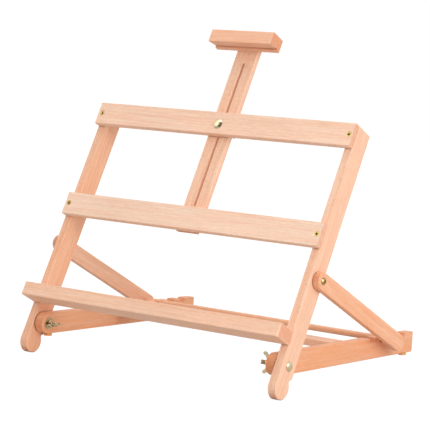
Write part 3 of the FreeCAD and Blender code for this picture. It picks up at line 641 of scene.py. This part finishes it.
def together(*parts):
    """One bmesh of several."""
    whole = bmesh.new()
    for part in parts:
        mesh = bpy.data.meshes.new("part")
        part.to_mesh(mesh)
        part.free()
        whole.from_mesh(mesh)
        bpy.data.meshes.remove(mesh)
    return whole


def shown(mesh, name):
    """A linked object of the mesh, smooth where its faces meet at less than the sharp angle."""
    mesh.shade_smooth()
    mesh.set_sharp_from_angle(angle=SHARP)
    return linked(name, mesh)


def kept(made, name):
    """A linked object from a bmesh."""
    mesh = bpy.data.meshes.new(name)
    bmesh.ops.recalc_face_normals(made, faces=made.faces)
    made.to_mesh(mesh)
    made.free()
    return shown(mesh, name)


def plain(shaped, name):
    """The object with its modifiers applied, as a plain mesh at the origin; the first one goes."""
    bpy.context.view_layer.update()
    depsgraph = bpy.context.evaluated_depsgraph_get()
    mesh = bpy.data.meshes.new_from_object(shaped.evaluated_get(depsgraph), depsgraph=depsgraph)
    mesh.name = name
    bpy.data.objects.remove(shaped)
    return shown(mesh, name)


def cross_cut(shaped, head, top):
    """The object with a driver's cross cut in its head of that radius, down from its top."""
    sizes = bpy.context.scene.easel_fasteners
    arm, half, depth = head * sizes.recess, head * sizes.recess * sizes.recess_arm, sizes.recess_depth
    outline = []
    for turn in range(4):
        spin = Matrix.Rotation(turn * math.pi / 2, 3, "Z")
        outline += [spin @ Vector(spot) for spot in ((half, half, 0), (half, arm, 0), (-half, arm, 0))]
    made = bmesh.new()
    levels = []
    for height, scale in ((top + depth / 4, CROSS_MOUTH), (top - depth, CROSS_FLOOR)):
        levels.append([made.verts.new((spot.x * scale, spot.y * scale, height)) for spot in outline])
    closed(made, *levels)
    cutter = kept(made, "cutter")
    cut = shaped.modifiers.new("cross", "BOOLEAN")
    cut.operation = "DIFFERENCE"
    cut.solver = "EXACT"
    cut.object = cutter
    piece = plain(shaped, shaped.name)
    bpy.data.objects.remove(cutter)
    return piece


def domed(head, dome):
    """The profile of a domed head on a seat at zero, from its top over its rim to the seat."""
    crown = dome - bpy.context.scene.easel_fasteners.rim
    ball = (head**2 + crown**2) / (2 * crown)
    reach = math.degrees(math.asin(head / ball))
    return arc((0, dome - ball), ball, 90, 90 - reach, DOME_STEPS) + [(head, 0)]


def shank(radius, high, low, threaded):
    """The profile of a shank, finely stepped where it is threaded, and what its thread adds to the radius."""
    pitch = 2 * radius * bpy.context.scene.easel_fasteners.pitch
    start = low + threaded
    steps = max(1, round(threaded / pitch * THREAD_STEPS))
    profile = [(radius, high)] + [(radius, start - threaded * step / steps) for step in range(steps)]
    profile += [(radius - pitch / 2, low), (0, low)]

    def ridge(angle, height):
        if not low + pitch / 2 < height <= start:
            return 0
        turn = (height / pitch - angle / math.tau) % 1
        return -pitch / 2 * abs(2 * turn - 1)

    return profile, ridge


def domed_fastener(size, threaded):
    """A domed head on its threaded shank, the top of the dome at zero."""
    tail, ridge = shank(size["shank"], 0, -size["length"], threaded)
    made = turned(domed(size["head"], size["dome"]) + tail, ridge)
    bmesh.ops.translate(made, verts=made.verts, vec=(0, 0, -size["dome"]))
    return made


def in_place():
    """The node group that sets copies of a pattern at points, facing their aim, each with its own spin."""
    name = "Fasteners in place"
    if name in bpy.data.node_groups:
        return bpy.data.node_groups[name]
    inlets = {"Places": "Geometry", "Pattern": "Object", "Material": "Material"}
    inlets |= {"Spin": "Float", "Seed": "Int"}
    tree, inlet, outlet = new_group(name, "GeometryNodeTree", inlets, {"Fasteners": "Geometry"})
    aim = add(tree, "GeometryNodeInputNamedAttribute", {"Name": "aim"}, data_type="FLOAT_VECTOR")
    facing = add(tree, "FunctionNodeAlignRotationToVector", {"Vector": aim.outputs["Attribute"]}, axis="Z")
    chance = add(tree, "FunctionNodeRandomValue", {"Seed": inlet["Seed"]}, data_type="FLOAT")
    tree.links.new(inlet["Spin"], next(s for s in chance.inputs if s.name == "Max" and s.enabled))
    drawn = next(s for s in chance.outputs if s.enabled)
    spin = add(tree, "FunctionNodeAxisAngleToRotation", {"Axis": (0, 0, 1), "Angle": drawn})
    sockets = {"Rotation": facing.outputs[0], "Rotate By": spin.outputs[0]}
    turn = add(tree, "FunctionNodeRotateRotation", sockets, rotation_space="LOCAL").outputs[0]
    pattern = add(tree, "GeometryNodeObjectInfo", {"Object": inlet["Pattern"]}).outputs["Geometry"]
    sockets = {"Points": inlet["Places"], "Instance": pattern, "Rotation": turn}
    copies = add(tree, "GeometryNodeInstanceOnPoints", sockets)
    real = add(tree, "GeometryNodeRealizeInstances", {0: copies.outputs[0]})
    sockets = {"Geometry": real.outputs[0], "Material": inlet["Material"]}
    finish = add(tree, "GeometryNodeSetMaterial", sockets)
    plug(tree, outlet, {"Fasteners": finish.outputs[0]})
    return tree


def set_out(name, pattern, spots, material, spin=0.0, seed=0):
    """One plain piece made of copies of the pattern at spots, which are pairs of place and aim."""
    places = bpy.data.meshes.new(name)
    places.from_pydata([place for place, _ in spots], [], [])
    aims = places.attributes.new("aim", "FLOAT_VECTOR", "POINT")
    for item, (_, aim) in zip(aims.data, spots):
        item.vector = aim
    carrier = linked(name, places)
    nodes = carrier.modifiers.new("in place", "NODES")
    nodes.node_group = in_place()
    sockets = {item.name: item.identifier for item in nodes.node_group.interface.items_tree}
    for label, value in (("Pattern", pattern), ("Material", material), ("Spin", spin), ("Seed", seed)):
        nodes[sockets[label]] = value
    piece = plain(carrier, name)
    bpy.data.objects.remove(pattern)
    return piece


def rear_of(node, across, height):
    """The place on an upright timber's rear face that far across from its middle and up from the pivot."""
    corners = sum(islands(node), [])
    above = [corner for corner in corners if (corner - FRAME_PIVOT).dot(UP_THE_FRAME) > HEEL]
    left, right = span_along(corners, SIDEWAYS)
    rear, _ = span_along(above, OUT_OF_CANVAS)
    level = FRAME_PIVOT.dot(UP_THE_FRAME) + height
    return SIDEWAYS * ((left + right) / 2 + across) + UP_THE_FRAME * level + OUT_OF_CANVAS * rear


def nut_size(node):
    """What a packed wing nut measures, and the matrix that seats a nut made along +Z, wings along X."""
    corners = sum(islands(node), [])
    axis = -outward(corners)
    bottom, top = span_along(corners, axis)
    seat = [corner for corner in corners if corner.dot(axis) < bottom + SAME]
    foot = sum(seat, Vector()) / len(seat)
    offsets = [(corner - foot) - axis * (corner - foot).dot(axis) for corner in corners]
    radii = [offset.length for offset in offsets]
    tips = [offset for offset in offsets if offset.length > TIP * max(radii)]
    wing = sum((tip for tip in tips if tip.dot(tips[0]) > 0), Vector()).normalized()
    across = axis.cross(wing)
    around = [corner for corner, radius in zip(corners, radii) if abs(radius - min(radii)) < SAME]
    turn = Matrix((wing, across, axis)).transposed().to_4x4()
    turn.translation = foot
    return {
        "seat": turn,
        "hub": max((corner - foot).length for corner in seat),
        "bore": min(radii),
        "tall": span_along(around, axis)[1] - bottom,
        "rise": top - bottom,
        "reach": max(offset.dot(wing) for offset in offsets),
        "thick": 2 * max(abs(tip.dot(across)) for tip in tips),
    }


def stands_for(piece, body, slot, *nodes):
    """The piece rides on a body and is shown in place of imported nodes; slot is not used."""
    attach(piece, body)
    if nodes:
        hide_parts(*nodes)


# ---------------------------------------- operators: timbers

# Each board's beech: its name, its grain, where the log's centre lies from it, and its tone, warm at 1.
BOARDS = {
    "upright_left": ("beech upright left", UP_THE_FRAME, (0.31, 0.045, 0.0), 0.66),
    "upright_right": ("beech upright right", UP_THE_FRAME, (-0.13, 0.06, 0.4), 0.44),
    "top_rail": ("beech top rail", SIDEWAYS, (0.42, 0.05, 0.1), 0.26),
    "middle_rail": ("beech middle rail", SIDEWAYS, (0.25, -0.03, 0.7), 0.14),
    "canvas_ledge": ("beech ledge", SIDEWAYS, (0.11, 0.02, 1.3), 0.4),
    "base_rail_left": ("beech base left", ALONG_BASE, (0.28, 0.03, 0.2), 0.88),
    "base_rail_right": ("beech base right", ALONG_BASE, (-0.12, 0.07, 0.9), 0.92),
    "base_cross_rail": ("beech cross rail", SIDEWAYS, (0.08, 0.09, 0.5), 0.55),
    "prop_arm_left": ("beech arm left", ALONG_THE_ARMS, (0.3, 0.08, 0.6), 0.5),
    "prop_arm_right": ("beech arm right", ALONG_THE_ARMS, (-0.14, 0.05, 0.1), 0.78),
    "prop_dowel": ("beech dowel", SIDEWAYS, (0.06, 0.08, 0.2), 0.7),
    "mast": ("beech mast", UP_THE_FRAME, (0.07, 0.04, 0.8), 0.44),
    "canvas_holder": ("beech holder", SIDEWAYS, (0.15, 0.03, 0.4), 0.62),
}


def dress_boards(*nodes):
    """Gives each packed board its own beech."""
    for node in nodes:
        dress(node, beech(*BOARDS[node]))


class EASEL_OT_uprights(Operator):
    """Beech for the two uprights, grain along their length"""

    bl_idname = "easel.uprights"
    bl_label = "Uprights"

    def execute(self, context):
        dress_boards("upright_left", "upright_right")
        return {"FINISHED"}


class EASEL_OT_rails(Operator):
    """Beech for the top and middle rails and the canvas ledge"""

    bl_idname = "easel.rails"
    bl_label = "Rails and ledge"

    def execute(self, context):
        dress_boards("top_rail", "middle_rail", "canvas_ledge")
        return {"FINISHED"}


class EASEL_OT_base(Operator):
    """Beech for the notched base rails and their cross rail"""

    bl_idname = "easel.base"
    bl_label = "Base"

    def execute(self, context):
        dress_boards("base_rail_left", "base_rail_right", "base_cross_rail")
        return {"FINISHED"}


class EASEL_OT_prop(Operator):
    """Beech for the prop arms and their dowel"""

    bl_idname = "easel.prop"
    bl_label = "Prop"

    def execute(self, context):
        dress_boards("prop_arm_left", "prop_arm_right", "prop_dowel")
        return {"FINISHED"}


class EASEL_OT_mast(Operator):
    """Beech for the slotted mast and the canvas holder"""

    bl_idname = "easel.mast"
    bl_label = "Mast"

    def execute(self, context):
        dress_boards("mast", "canvas_holder")
        return {"FINISHED"}


# ---------------------------------------- operators: fittings

# A nut's flange, and the foot and shoulder of its wings, for a hub 1 tall.
FLANGE, WING_FOOT, WING_SHOULDER = 1 / 4, 1 / 5, 4 / 5
# How deep a nut's waist is, for a rim of 1, and how far out its wing's foot goes, for a hub of 1.
WAIST, WING_ROOT = 1.6, 1.15
# Where an ear's round starts and ends in degrees, its points, and where its neck is, for an ear of 1.
EAR_ARC = (-70, 160, 20)
EAR_NECK = (-1.1, -0.5)
# The hollow of a foot's sole, as how far out and how deep, and its rounded edge, for a foot of 1.
SOLE_HOLLOW = ((0, 1 / 3), (1 / 4, 1 / 3), (1 / 3, 1 / 8), (1 / 2, 0))
FOOT_RIM, FOOT_RIM_STEPS = 1 / 4, 5


class EASEL_OT_screws(Operator):
    """Countersunk and domed brass screws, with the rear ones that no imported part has"""

    bl_idname = "easel.screws"
    bl_label = "Screws"

    def execute(self, context):
        sizes = context.scene.easel_fasteners
        brass = metal("brass", context.scene.easel_metal.brass)

        solids = islands("rail_screws")
        size = measured(solids[0], OUT_OF_CANVAS)
        head, low, high = size["head"] - sizes.rim / 2, -size["dome"] - size["length"], -sizes.sunk
        profile = [(0, high), (head - sizes.rim, high), (head, high - sizes.rim)]
        tail, ridge = shank(size["shank"], high - head + size["shank"], low, size["length"] / 2)
        pattern = cross_cut(kept(turned(profile + tail, ridge), "rail screw"), head, high)
        spots = spots_and_aims(solids, OUT_OF_CANVAS)
        screws = set_out("screws_rail", pattern, spots, brass, math.pi, sizes.seed)
        stands_for(screws, "frame", "brass_screws", "rail_screws")

        solids = islands("arm_pivot_screws")
        size = measured(solids[0], outward(solids[0]))
        made = domed_fastener(size, size["length"] / 2)
        pattern = cross_cut(kept(made, "arm screw"), size["head"], 0)
        screws = set_out("screws_arm", pattern, spots_and_aims(solids), brass, math.pi, sizes.seed)
        stands_for(screws, "frame", "brass_screws", "arm_pivot_screws")

        level = (middle("canvas_ledge") - FRAME_PIVOT).dot(UP_THE_FRAME)
        places = [rear_of(f"upright_{side}", 0, level) for side in ("left", "right")]
        self.rear_screws("screws_ledge", "frame", places, brass)
        level = (middle("canvas_holder") - FRAME_PIVOT).dot(UP_THE_FRAME)
        places = [rear_of("mast", side * sizes.rear_space / 2, level) for side in (-1, 1)]
        self.rear_screws("screws_holder", "mast_slider", places, brass)
        return {"FINISHED"}

    def rear_screws(self, name, body, places, brass):
        """Domed screws on the rear of a body's timber."""
        sizes = bpy.context.scene.easel_fasteners
        made = turned(domed(sizes.rear_head, sizes.rear_dome) + [(0, 0)])
        pattern = cross_cut(kept(made, "rear screw"), sizes.rear_head, sizes.rear_dome)
        spots = [(place, -OUT_OF_CANVAS) for place in places]
        screws = set_out(name, pattern, spots, brass, math.pi, sizes.seed)
        stands_for(screws, body, "brass_screws")


class EASEL_OT_bolts(Operator):
    """Domed bolts with threaded ends at the frame's pivots and through the mast"""

    bl_idname = "easel.bolts"
    bl_label = "Bolts"

    def execute(self, context):
        finish = metal("bolt plate", context.scene.easel_metal.plate)
        solids = islands("clamp_bolts")
        middle_one = [corners for corners in solids if outward(corners) == OUT_OF_CANVAS]
        pivots = [corners for corners in solids if outward(corners) != OUT_OF_CANVAS]
        for name, group, nodes in (("bolts_pivot", pivots, ["clamp_bolts"]), ("bolt_mast", middle_one, [])):
            size = measured(group[0], outward(group[0]))
            made = domed_fastener(size, context.scene.easel_fasteners.threaded)
            bolts = set_out(name, kept(made, "bolt"), spots_and_aims(group), finish)
            stands_for(bolts, "frame", "plated_steel", *nodes)
        for node in ("nut_washers", "pivot_washers"):
            dress(node, finish)
        return {"FINISHED"}


class EASEL_OT_wing_nuts(Operator):
    """Wing nuts with waisted hubs and round ears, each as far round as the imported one"""

    bl_idname = "easel.wing_nuts"
    bl_label = "Wing nuts"

    def execute(self, context):
        finish = metal("nut plate", context.scene.easel_metal.plate)
        for node, body in (
            ("base_wing_nut_left", "left_nut"),
            ("base_wing_nut_right", "right_nut"),
            ("mast_wing_nut", "mast_nut"),
        ):
            size = nut_size(node)
            parts = [turned(self.hub(size), ring=True)]
            parts += [plate(self.wing(size, side), size["thick"], size["thick"] / 4) for side in (-1, 1)]
            nut = kept(together(*parts), f"{node}_detailed")
            nut.data.transform(size["seat"])
            nut.data.materials.append(finish)
            stands_for(nut, body, "plated_steel", node)
        return {"FINISHED"}

    def hub(self, size):
        """The hub's profile, all round its wall: a flange, a waist and a bevelled bore."""
        rim = bpy.context.scene.easel_fasteners.rim
        wide, bore, tall = size["hub"], size["bore"], size["tall"]
        waist, flange = wide - WAIST * rim, tall * FLANGE
        return [
            (bore + rim, tall),
            (waist - rim, tall),
            (waist, tall - rim),
            (waist, flange + rim),
            (wide, flange - rim),
            (wide, rim / 2),
            (wide - rim / 2, 0),
            (bore + rim, 0),
            (bore, rim),
            (bore, tall - rim),
        ]

    def wing(self, size, side):
        """The outline of a wing that rises from the hub to a round ear at the tip."""
        ear = bpy.context.scene.easel_fasteners.ear
        centre = (size["reach"] - ear, size["rise"] - ear)
        root, foot = (size["bore"] + size["hub"]) / 2, size["tall"] * WING_FOOT
        outline = [(root, foot), (size["hub"] * WING_ROOT, foot)]
        outline += arc(centre, ear, *EAR_ARC)
        outline += [tuple(centre[place] + EAR_NECK[place] * ear for place in (0, 1))]
        outline += [(root, size["tall"] * WING_SHOULDER)]
        return [(side * across, up) for across, up in outline]


class EASEL_OT_feet(Operator):
    """Amber rubber feet with rounded soles, each hollow round its nail"""

    bl_idname = "easel.feet"
    bl_label = "Rubber feet"

    def execute(self, context):
        solids = islands("rubber_feet")
        size = measured(solids[0], -OUT_OF_BASE)
        wide, tall, rim = size["head"], size["length"], size["length"] * FOOT_RIM
        profile = [(wide * out, -tall * deep) for out, deep in SOLE_HOLLOW]
        profile += arc((wide - rim, -rim), rim, 90, 0, FOOT_RIM_STEPS) + [(wide, -tall), (0, -tall)]
        pattern = kept(turned(profile), "foot")
        feet = set_out("feet_amber", pattern, spots_and_aims(solids, -OUT_OF_BASE), rubber("amber rubber"))
        stands_for(feet, "base", "amber_rubber", "rubber_feet")
        return {"FINISHED"}


# ---------------------------------------- the studio

# What metal mirrors: the way to each bright patch, the cosines between which it grows, and its level.
MIRRORED_WINDOW = ((-0.85, -0.3, 0.5), (0.35, 0.8), 1.35)
MIRRORED_PAPER = ((0.35, 0.93, 0.1), (-0.1, 0.35), 1.0)
MIRRORED_DARK = 0.1
# Where the soft boxes hang from the easel's middle, and how wide they are.
LIGHTS = {"key": (-1.2, -2.2, 1.9), "fill": (2.5, -1.0, 0.9), "top": (0.0, 0.3, 2.4)}
LIGHT_WIDE = 1.8
# Half the floor's side, for an easel of 1.
FLOOR_REACH = 40


def floor_finish(studio):
    """A pale floor that the camera sees lit up to white and that keeps the easel's shadow."""
    material = bpy.data.materials.new("floor")
    tree = emptied(material)
    path = tree.nodes.new("ShaderNodeLightPath").outputs
    matt = add(tree, "ShaderNodeBsdfDiffuse", {"Color": (*studio.floor, 1)}).outputs[0]
    bright = add(tree, "ShaderNodeEmission", {"Color": WHITE, "Strength": studio.floor_glow}).outputs[0]
    seen = either(tree, studio.floor_shadow, bright, matt)
    surface = either(tree, path["Is Camera Ray"], matt, seen)
    add(tree, "ShaderNodeOutputMaterial", {"Surface": surface})
    return material


def toward(tree, around, aim, cosines, level):
    """Light that grows to a level as the direction comes near the aim."""
    return remap(tree, along(tree, around, Vector(aim).normalized()), *cosines, 0.0, level)


def background(tree, strength):
    """White light from all round."""
    return add(tree, "ShaderNodeBackground", {"Color": WHITE, "Strength": strength}).outputs[0]


def white_room(scene, strength):
    """A white room: full white where it is seen, softer as light, and mirrored by metal in patches."""
    world = bpy.data.worlds.new("white room")
    scene.world = world
    tree = emptied(world)
    path = tree.nodes.new("ShaderNodeLightPath").outputs
    seen = maths(tree, "ADD", path["Is Camera Ray"], path["Is Transmission Ray"], clamp=True)
    around = tree.nodes.new("ShaderNodeTexCoord").outputs["Generated"]
    patches = [toward(tree, around, *patch) for patch in (MIRRORED_WINDOW, MIRRORED_PAPER)]
    level = maths(tree, "MAXIMUM", maths(tree, "MAXIMUM", *patches), MIRRORED_DARK)
    room = either(tree, path["Is Glossy Ray"], background(tree, strength), background(tree, level))
    add(tree, "ShaderNodeOutputWorld", {"Surface": either(tree, seen, room, background(tree, 1.0))})


def soft_light(name, place, aim, power):
    """A square soft box."""
    lamp = bpy.data.lights.new(name, "AREA")
    lamp.shape = "SQUARE"
    lamp.size = LIGHT_WIDE
    lamp.energy = power
    box = linked(name, lamp)
    box.location = place
    box.rotation_mode = "QUATERNION"
    box.rotation_quaternion = (Vector(aim) - Vector(place)).to_track_quat("-Z", "Y")


class EASEL_OT_studio(Operator):
    """A pale floor, a white room, soft lights and the camera"""

    bl_idname = "easel.studio"
    bl_label = "Studio"

    def execute(self, context):
        scene = context.scene
        studio = scene.easel_studio
        low, high = (Vector(corner) for corner in CAD_BOX)
        centre = (low + high) / 2

        reach = FLOOR_REACH * (high - low).length
        mesh = bpy.data.meshes.new("floor")
        corners = [(-reach, -reach, 0), (reach, -reach, 0), (reach, reach, 0), (-reach, reach, 0)]
        mesh.from_pydata(corners, [], [(0, 1, 2, 3)])
        mesh.materials.append(floor_finish(studio))
        floor = linked("floor", mesh)

        white_room(scene, studio.sky)
        for name, place in LIGHTS.items():
            soft_light(name, centre + Vector(place), centre, getattr(studio, name))

        lens = bpy.data.cameras.new("camera")
        lens.lens = studio.lens
        lens.sensor_width = 36
        lens.clip_end = 100
        camera = linked("camera", lens)
        level = math.cos(studio.elevation)
        back = Vector(
            (math.sin(studio.azimuth) * level, -math.cos(studio.azimuth) * level, math.sin(studio.elevation))
        )
        camera.location = centre + Vector(studio.aim) + back * studio.distance
        camera.rotation_mode = "QUATERNION"
        camera.rotation_quaternion = (-back).to_track_quat("-Z", "Y") @ Quaternion((0, 0, 1), studio.roll)
        scene.camera = camera
        scene.view_settings.view_transform = "Standard"
        return {"FINISHED"}


# ---------------------------------------- panel and registration


OPERATORS = (
    EASEL_OT_uprights,
    EASEL_OT_rails,
    EASEL_OT_base,
    EASEL_OT_prop,
    EASEL_OT_mast,
    EASEL_OT_screws,
    EASEL_OT_bolts,
    EASEL_OT_wing_nuts,
    EASEL_OT_feet,
    EASEL_OT_studio,
)
SETTINGS = {
    "easel_beech": BeechSettings,
    "easel_metal": MetalSettings,
    "easel_fasteners": FastenerSettings,
    "easel_rubber": RubberSettings,
    "easel_studio": StudioSettings,
}


class EASEL_PT_panel(Panel):
    """The easel's settings and its makers"""

    bl_idname = "EASEL_PT_panel"
    bl_label = "Table-top easel"
    bl_space_type = "VIEW_3D"
    bl_region_type = "UI"
    bl_category = "Easel"

    def draw(self, context):
        for name in SETTINGS:
            box = self.layout.box()
            settings = getattr(context.scene, name)
            for prop in settings.__annotations__:
                box.prop(settings, prop)
        for operator in OPERATORS:
            self.layout.operator(operator.bl_idname)


def register():
    for cls in (*SETTINGS.values(), *OPERATORS, EASEL_PT_panel):
        bpy.utils.register_class(cls)
    for name, cls in SETTINGS.items():
        setattr(bpy.types.Scene, name, PointerProperty(type=cls))


def unregister():
    for name in SETTINGS:
        delattr(bpy.types.Scene, name)
    for cls in (EASEL_PT_panel, *reversed(OPERATORS), *SETTINGS.values()):
        bpy.utils.unregister_class(cls)


def main():
    register()
    for operator in OPERATORS:
        family, name = operator.bl_idname.split(".")
        getattr(getattr(bpy.ops, family), name)()


if __name__ == "__main__":
    main()
